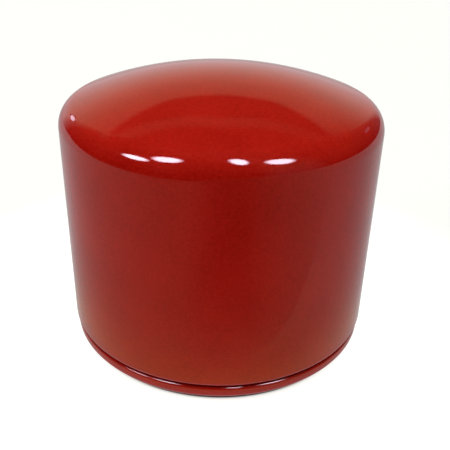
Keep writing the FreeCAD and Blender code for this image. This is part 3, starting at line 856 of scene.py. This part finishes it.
def floor():
    """A pale floor that glows, brightest close to the filter: painted light, so that its shadow is
    faint.
    """
    bpy.ops.mesh.primitive_plane_add(size=FLOOR_SIZE)
    plane = bpy.context.object
    plane.name = "floor"
    material, shader, nodes = new_material("glowing_pale_floor", Roughness=0.9, Specular_IOR_Level=0.0)
    shader.inputs["Base Color"].default_value = (0.45, 0.453, 0.43, 1)
    shader.inputs["Emission Color"].default_value = (1, 1, 0.96, 1)
    distance = nodes.add("ShaderNodeVectorMath", {0: nodes.millimetres},
                         operation="LENGTH").outputs["Value"]
    # The glow is painted light that fills the filter's shadow; it stops at the narrow gap under
    # the rolled edge, so only there the shade stays dark.
    nodes.link(nodes.steps(distance, 0, 100, [
        (34.8, 0.0), (35.3, 0.92), (38.0, 0.80), (60, 0.58), (95, 0.38)]),
        shader.inputs["Emission Strength"])
    plane.data.materials.append(material)
    plane.visible_glossy = False


def mirrored_floor():
    """What the can mirrors below, as a painted reflection: a card that glows only in reflections,
    a pale floor with a dark sector in front of the filter.

    Places and distances are in millimetres, and a turn of 0 degrees is straight in front.
    The levels start from an estimate, made with a scratch script, of what the enamel mirrors in
    the photo. They were rounded and corrected.
    """
    ring = 45.0
    ring_fade = 13.0
    ring_level = 0.56
    sheet_end = (155.0, 185.0)
    step_start = (-54.0, -50.0)
    step_level = 0.40
    bpy.ops.mesh.primitive_plane_add(size=FLOOR_SIZE, location=(0, 0, -0.0005))
    plane = bpy.context.object
    plane.name = "mirrored_floor"
    material, glow, nodes = glowing_material("mirrored_floor")
    split = nodes.add("ShaderNodeSeparateXYZ", {"Vector": nodes.millimetres}).outputs
    toward = nodes.math("MULTIPLY", split["Y"], -1.0)
    angle = nodes.math("ARCTAN2", split["X"], toward)
    turn = nodes.fit(angle, -math.pi, math.pi, -180.0, 180.0)
    far = nodes.steps(turn, -180, 180, [
        (-180, 0.55), (-140, 0.54), (-120, 0.58), (-100, 0.49), (-80, 0.42), (-60, 0.36),
        (-40, 0.28), (-20, 0.20), (-8, 0.08), (0, 0.04), (15, 0.04), (25, 0.12), (40, 0.22),
        (60, 0.33), (80, 0.40), (100, 0.46), (120, 0.55), (180, 0.55)])
    distance = nodes.add("ShaderNodeVectorMath", {0: nodes.millimetres},
                         operation="LENGTH").outputs["Value"]
    past = nodes.math("MAXIMUM", nodes.math("SUBTRACT", distance, ring), 0.0)
    near = nodes.math("POWER", math.e, nodes.math("DIVIDE", past, -ring_fade))
    level = nodes.add("ShaderNodeMix", {"Factor": near, 2: far, 3: ring_level}).outputs[0]
    # The pale sheet ends along a line in front and to the left, and a step crosses it close by.
    beyond = nodes.math("ADD", nodes.math("MULTIPLY", split["X"], -0.554),
                        nodes.math("MULTIPLY", split["Y"], -0.832))
    past_edge = nodes.math("MULTIPLY", nodes.fit(beyond, *sheet_end, 0.0, 1.0),
                           nodes.fit(split["X"], -60.0, 0.0, 1.0, 0.0))
    level = nodes.math("MULTIPLY", level, nodes.math("SUBTRACT", 1.0, past_edge))
    step = nodes.math("MULTIPLY", nodes.fit(split["Y"], *step_start, 0.0, step_level),
                      nodes.fit(split["X"], 2.0, 14.0, 0.0, 1.0))
    nodes.link(nodes.math("MAXIMUM", level, step), glow.inputs["Strength"])
    # Its light is warm in front and neutral at the sides and right beside the rolled edge.
    front = nodes.steps(turn, -180, 180, [
        (-110, 0.0), (-60, 0.6), (-25, 1.0), (25, 1.0), (60, 0.5), (100, 0.0)])
    close = nodes.math("MULTIPLY", nodes.fit(near, 0.0, 1.0, 0.6, 1.0),
                       nodes.fit(distance, 39.0, 45.0, 0.0, 1.0))
    nodes.link(nodes.mix(nodes.math("MULTIPLY", close, front), (1, 1, 1, 1),
                         (1.1, 1, 0.45, 1)), glow.inputs["Color"])
    plane.data.materials.append(material)
    mirrored_only(plane)


def mirrored_shell():
    """What the can mirrors above, as a painted reflection: a shell that glows only in reflections,
    with a pale backdrop behind it, a faint arc over that, a dim room.

    Rise and turn are in degrees, and a turn of 0 is straight behind. The backdrop's upper edge
    is at a rise of 36, and higher at its sides. The levels come about as the floor's do.
    """
    edge_flat = 13.0
    edge_climb = 0.25
    arc_sag = 0.18
    bpy.ops.mesh.primitive_uv_sphere_add(segments=48, ring_count=24, radius=SHELL_RADIUS)
    shell = bpy.context.object
    shell.name = "mirrored_shell"
    material, glow, nodes = glowing_material("mirrored_shell")
    direction = nodes.add("ShaderNodeVectorMath", {0: nodes.millimetres},
                          operation="NORMALIZE").outputs["Vector"]
    parts = nodes.add("ShaderNodeSeparateXYZ", {"Vector": direction}).outputs
    rise = nodes.fit(nodes.math("ARCSINE", parts["Z"]), 0.0, math.pi / 2, 0.0, 90.0)
    turn = nodes.fit(nodes.math("ARCTAN2", parts["X"], parts["Y"]), -math.pi, math.pi,
                     -180.0, 180.0)
    off_centre = nodes.math("ABSOLUTE", turn)
    aside = nodes.math("MAXIMUM", nodes.math("SUBTRACT", off_centre, edge_flat), 0.0)
    lower = nodes.math("SUBTRACT", rise, nodes.math("MULTIPLY", aside, edge_climb))
    backdrop = nodes.steps(lower, 0, 90, [
        (0, 0.70), (10, 0.66), (16, 0.57), (21, 0.46), (27, 0.34), (35, 0.24), (37, 0.0)])
    spread = nodes.steps(turn, -180, 180, [
        (-155, 0.0), (-140, 0.06), (-125, 0.0), (-75, 0.0), (-54, 0.03), (-46, 0.4), (-38, 1.0),
        (22, 1.0), (28, 0.8), (35, 0.12), (55, 0.02), (105, 0.0), (120, 0.22), (140, 0.25),
        (155, 0.0)])
    band = nodes.steps(turn, -180, 180, [(-75, 0.0), (-55, 1.0), (8, 1.0), (30, 0.3), (50, 0.0)])
    arc_rise = nodes.math("ADD", rise, nodes.math("MULTIPLY", off_centre, arc_sag))
    arc = nodes.steps(arc_rise, 0, 90, [(48, 0.0), (50.5, 0.10), (53, 0.10), (55.5, 0.0)])
    room = nodes.steps(rise, 0, 90, [(0, 0.0), (30, 0.05), (60, 0.06), (80, 0.10)])
    strength = nodes.math("ADD", nodes.math("MULTIPLY", backdrop, spread),
                          nodes.math("ADD", nodes.math("MULTIPLY", arc, band), room))
    nodes.link(strength, glow.inputs["Strength"])
    nodes.link(nodes.mix(nodes.fit(rise, 3.0, 32.0, 0.0, 1.0), (1, 1, 1, 1),
                         (1.15, 1, 0.6, 1)), glow.inputs["Color"])
    shell.data.materials.append(material)
    mirrored_only(shell)


def highlight_card(name, azimuth, elevation, width, height, strength):
    """A painted highlight: a soft bright window card that glows only in the enamel's reflections.
    Its place and its sizes are in degrees.

    Azimuth 0 is straight behind. The card is a scaled plane of one metre, so its own
    coordinates reach 500 to each side.
    """
    distance = 1.0
    bright_to = 300.0
    dark_from = 500.0
    turn = math.radians(azimuth)
    rise = math.radians(elevation)
    direction = Vector((math.sin(turn) * math.cos(rise), math.cos(turn) * math.cos(rise),
                        math.sin(rise)))
    bpy.ops.mesh.primitive_plane_add(size=1)
    card = bpy.context.object
    card.name = name
    card.location = direction * distance
    card.rotation_euler = direction.to_track_quat("Z", "Y").to_euler()
    card.scale = (2 * distance * math.tan(math.radians(width) / 2),
                  2 * distance * math.tan(math.radians(height) / 2), 1)
    material, glow, nodes = glowing_material(name)
    glow.inputs["Color"].default_value = (1.0, 0.93, 1.12, 1)
    reach = nodes.add("ShaderNodeVectorMath", {0: nodes.millimetres},
                      operation="LENGTH").outputs["Value"]
    nodes.link(nodes.fit(reach, bright_to, dark_from, strength, 0.0), glow.inputs["Strength"])
    card.data.materials.append(material)
    mirrored_only(card)


def soft_light(name, kind, location, power, **settings):
    """A light that faces the filter and leaves no mirror image."""
    light = bpy.data.lights.new(name, kind)
    light.energy = power
    for setting, value in settings.items():
        setattr(light, setting, value)
    source = bpy.data.objects.new(name, light)
    source.location = location
    source.rotation_euler = Vector(location).to_track_quat("Z", "Y").to_euler()
    source.visible_camera = False
    source.visible_glossy = False
    bpy.context.scene.collection.objects.link(source)


world = bpy.data.worlds.new("studio")
bpy.context.scene.world = world
world.use_nodes = True
world.node_tree.nodes["Background"].inputs["Color"].default_value = (0.98, 0.98, 0.95, 1)
world.cycles_visibility.diffuse = False
world.cycles_visibility.glossy = False

floor()
mirrored_floor()
mirrored_shell()
# The windows' directions are those of the photo's highlights, read with a scratch script.
# Painted highlights: cards that glow only in reflections and light nothing.
highlight_card("window_left", -118, 32.5, 20, 14, 24)
highlight_card("window_mid_left", -136, 48, 18, 22, 24)
highlight_card("window_centre", 163, 59, 10, 26, 24)
highlight_card("window_right", 132, 47, 18, 22, 22)
highlight_card("window_far_left", -42, 21, 9, 7, 3.5)
highlight_card("window_far_right", 49, 24, 12, 7, 0.3)
soft_light("overhead", "SUN", (0, -0.1, 2.0), 4.2, angle=math.radians(66))
soft_light("side_fill", "AREA", (-1.4, -0.35, 0.5), 5, shape="DISK", size=0.8)
